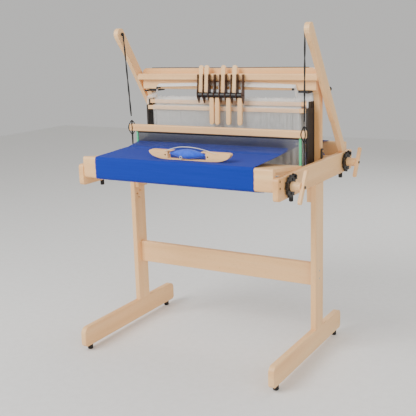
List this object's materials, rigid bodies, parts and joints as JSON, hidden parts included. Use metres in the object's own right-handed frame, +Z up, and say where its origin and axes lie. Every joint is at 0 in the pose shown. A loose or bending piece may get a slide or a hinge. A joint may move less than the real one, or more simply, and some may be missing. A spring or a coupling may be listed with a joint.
{
  "type": "loom",
  "caption": "Table loom on a floor stand: side frame with rollers and ratchets, leaning arms, hanging beater, castle with flip levers and shafts, blue cloth and a boat shuttle.",
  "frame": {"origin": "middle of the footprint, on the floor, at the bottom centre of the bounding box", "axes": "+Z up, -Y towards the weaver (cloth side), +X towards the side with the ratchets and T handles"},
  "size_m": [0.923, 0.78, 1.28],
  "materials": {
    "beech": "satin",
    "black_steel": "satin",
    "black_plastic": "matte",
    "zinc_steel": "satin",
    "elastic": "matte",
    "string": "matte",
    "warp_yarn": "matte",
    "blue_cloth": "matte",
    "reed_steel": "satin",
    "blue_bobbin": "matte",
    "rubber": "matte"
  },
  "bodies": {
    "frame": {"arm_left": "beech", "arm_right": "beech", "back_beam": "beech", "castle_board": "beech", "castle_post_left": "beech", "castle_post_right": "beech", "castle_rail": "beech", "cloth": "blue_cloth", "cord_guides": "black_plastic", "cover_board": "beech", "cross_rail": "beech", "foot_left": "beech", "foot_right": "beech", "frame_feet": "rubber", "frame_screws": "zinc_steel", "front_beam": "beech", "glides": "rubber", "leg_left": "beech", "leg_right": "beech", "lever_plates": "black_steel", "lift_cords": "string", "side_board_left": "beech", "side_board_right": "beech", "stand_bolts": "zinc_steel", "warp": "warp_yarn"},
    "beater": {"beater_top_rail": "beech", "beater_bottom_rail": "beech", "reed": "reed_steel", "beater_cords": "elastic"},
    "cloth_beam": {"cloth_roller": "beech", "cloth_ratchet": "black_plastic", "cloth_handle": "beech"},
    "warp_beam": {"warp_roller": "beech", "warp_ratchet": "black_plastic", "warp_handle": "beech"},
    "cloth_catch": {"cloth_pawl": "black_plastic"},
    "warp_catch": {"warp_pawl": "black_plastic"},
    "latch_l": {"latch_left": "black_steel"},
    "latch_r": {"latch_right": "black_steel"},
    "knob_l": {"knob_left": "black_plastic"},
    "knob_r": {"knob_right": "black_plastic"},
    "shuttle_body": {"shuttle": "beech"},
    "bobbin_body": {"bobbin": "blue_bobbin"},
    "lever_body_1": {"lever_1": "beech"},
    "shaft_body_1": {"shaft_1": "beech"},
    "lever_body_2": {"lever_2": "beech"},
    "shaft_body_2": {"shaft_2": "beech"},
    "lever_body_3": {"lever_3": "beech"},
    "shaft_body_3": {"shaft_3": "beech"},
    "lever_body_4": {"lever_4": "beech"},
    "shaft_body_4": {"shaft_4": "beech"},
    "lever_body_5": {"lever_5": "beech"},
    "shaft_body_5": {"shaft_5": "beech"},
    "lever_body_6": {"lever_6": "beech"},
    "shaft_body_6": {"shaft_6": "beech"},
    "lever_body_7": {"lever_7": "beech"},
    "shaft_body_7": {"shaft_7": "beech"},
    "lever_body_8": {"lever_8": "beech"},
    "shaft_body_8": {"shaft_8": "beech"}
  },
  "joints": [
    {"name": "beater_swing", "type": "hinge", "parent": "frame", "child": "beater", "pos_m": [0, -0.038, 1.256], "axis": [1, 0, 0], "range_deg": [-4.5, 5], "deforming": ["warp"]},
    {"name": "lever_1_turn", "type": "hinge", "parent": "frame", "child": "lever_body_1", "pos_m": [-0.12075, 0.046, 1.008], "axis": [1, 0, 0], "range_deg": [0, 184]},
    {"name": "shaft_1_lift", "type": "slide", "parent": "frame", "child": "shaft_body_1", "axis": [0, 0, 1], "range_m": [0, 0.024], "deforming": ["warp", "lift_cords"]},
    {"name": "lever_2_turn", "type": "hinge", "parent": "frame", "child": "lever_body_2", "pos_m": [-0.09525, 0.046, 1.008], "axis": [1, 0, 0], "range_deg": [0, 184]},
    {"name": "shaft_2_lift", "type": "slide", "parent": "frame", "child": "shaft_body_2", "axis": [0, 0, 1], "range_m": [0, 0.024], "deforming": ["warp", "lift_cords"]},
    {"name": "lever_3_turn", "type": "hinge", "parent": "frame", "child": "lever_body_3", "pos_m": [-0.06975, 0.046, 1.008], "axis": [1, 0, 0], "range_deg": [-184, 0]},
    {"name": "shaft_3_lift", "type": "slide", "parent": "frame", "child": "shaft_body_3", "axis": [0, 0, 1], "range_m": [-0.024, 0], "deforming": ["warp", "lift_cords"]},
    {"name": "lever_4_turn", "type": "hinge", "parent": "frame", "child": "lever_body_4", "pos_m": [-0.04425, 0.046, 1.008], "axis": [1, 0, 0], "range_deg": [-184, 0]},
    {"name": "shaft_4_lift", "type": "slide", "parent": "frame", "child": "shaft_body_4", "axis": [0, 0, 1], "range_m": [-0.024, 0], "deforming": ["warp", "lift_cords"]},
    {"name": "lever_5_turn", "type": "hinge", "parent": "frame", "child": "lever_body_5", "pos_m": [-0.01875, 0.046, 1.008], "axis": [1, 0, 0], "range_deg": [0, 184]},
    {"name": "shaft_5_lift", "type": "slide", "parent": "frame", "child": "shaft_body_5", "axis": [0, 0, 1], "range_m": [0, 0.024], "deforming": ["warp", "lift_cords"]},
    {"name": "lever_6_turn", "type": "hinge", "parent": "frame", "child": "lever_body_6", "pos_m": [0.00675, 0.046, 1.008], "axis": [1, 0, 0], "range_deg": [-184, 0]},
    {"name": "shaft_6_lift", "type": "slide", "parent": "frame", "child": "shaft_body_6", "axis": [0, 0, 1], "range_m": [-0.024, 0], "deforming": ["warp", "lift_cords"]},
    {"name": "lever_7_turn", "type": "hinge", "parent": "frame", "child": "lever_body_7", "pos_m": [0.03225, 0.046, 1.008], "axis": [1, 0, 0], "range_deg": [0, 184]},
    {"name": "shaft_7_lift", "type": "slide", "parent": "frame", "child": "shaft_body_7", "axis": [0, 0, 1], "range_m": [0, 0.024], "deforming": ["warp", "lift_cords"]},
    {"name": "lever_8_turn", "type": "hinge", "parent": "frame", "child": "lever_body_8", "pos_m": [0.05775, 0.046, 1.008], "axis": [1, 0, 0], "range_deg": [-184, 0]},
    {"name": "shaft_8_lift", "type": "slide", "parent": "frame", "child": "shaft_body_8", "axis": [0, 0, 1], "range_m": [-0.024, 0], "deforming": ["warp", "lift_cords"]},
    {"name": "cloth_beam_turn", "type": "hinge", "parent": "frame", "child": "cloth_beam", "pos_m": [0, -0.252, 0.724], "axis": [1, 0, 0], "continuous": true},
    {"name": "warp_beam_turn", "type": "hinge", "parent": "frame", "child": "warp_beam", "pos_m": [0, 0.304, 0.724], "axis": [1, 0, 0], "continuous": true},
    {"name": "cloth_pawl_lift", "type": "hinge", "parent": "frame", "child": "cloth_catch", "pos_m": [0.4065, -0.216, 0.754], "axis": [1, 0, 0], "range_deg": [-25, 0]},
    {"name": "warp_pawl_lift", "type": "hinge", "parent": "frame", "child": "warp_catch", "pos_m": [0.4065, 0.34, 0.754], "axis": [1, 0, 0], "range_deg": [-25, 0]},
    {"name": "latch_right_turn", "type": "hinge", "parent": "frame", "child": "latch_r", "pos_m": [0.3675, 0.135, 0.79], "axis": [1, 0, 0], "range_deg": [-70, 0]},
    {"name": "latch_left_turn", "type": "hinge", "parent": "frame", "child": "latch_l", "pos_m": [-0.4305, 0.135, 0.79], "axis": [1, 0, 0], "range_deg": [-70, 0]},
    {"name": "knob_right_turn", "type": "hinge", "parent": "frame", "child": "knob_r", "pos_m": [0.3865, 0.1499, 1.023], "axis": [0, 0.8192, 0.5735], "continuous": true},
    {"name": "knob_left_turn", "type": "hinge", "parent": "frame", "child": "knob_l", "pos_m": [-0.4495, 0.1499, 1.023], "axis": [0, 0.8192, 0.5735], "continuous": true},
    {"name": "shuttle_lift", "type": "slide", "parent": "frame", "child": "shuttle_body", "axis": [0, 0, 1], "range_m": [0, 0.06]},
    {"name": "bobbin_spin", "type": "hinge", "parent": "shuttle_body", "child": "bobbin_body", "pos_m": [0.0215, -0.28706, 0.82146], "axis": [1, 0, 0], "continuous": true}
  ],
  "couplings": [
    {"joint": "shaft_1_lift", "follows": "lever_1_turn", "m_per_rad": 0.0074734},
    {"joint": "shaft_2_lift", "follows": "lever_2_turn", "m_per_rad": 0.0074734},
    {"joint": "shaft_3_lift", "follows": "lever_3_turn", "m_per_rad": 0.0074734},
    {"joint": "shaft_4_lift", "follows": "lever_4_turn", "m_per_rad": 0.0074734},
    {"joint": "shaft_5_lift", "follows": "lever_5_turn", "m_per_rad": 0.0074734},
    {"joint": "shaft_6_lift", "follows": "lever_6_turn", "m_per_rad": 0.0074734},
    {"joint": "shaft_7_lift", "follows": "lever_7_turn", "m_per_rad": 0.0074734},
    {"joint": "shaft_8_lift", "follows": "lever_8_turn", "m_per_rad": 0.0074734}
  ]
}
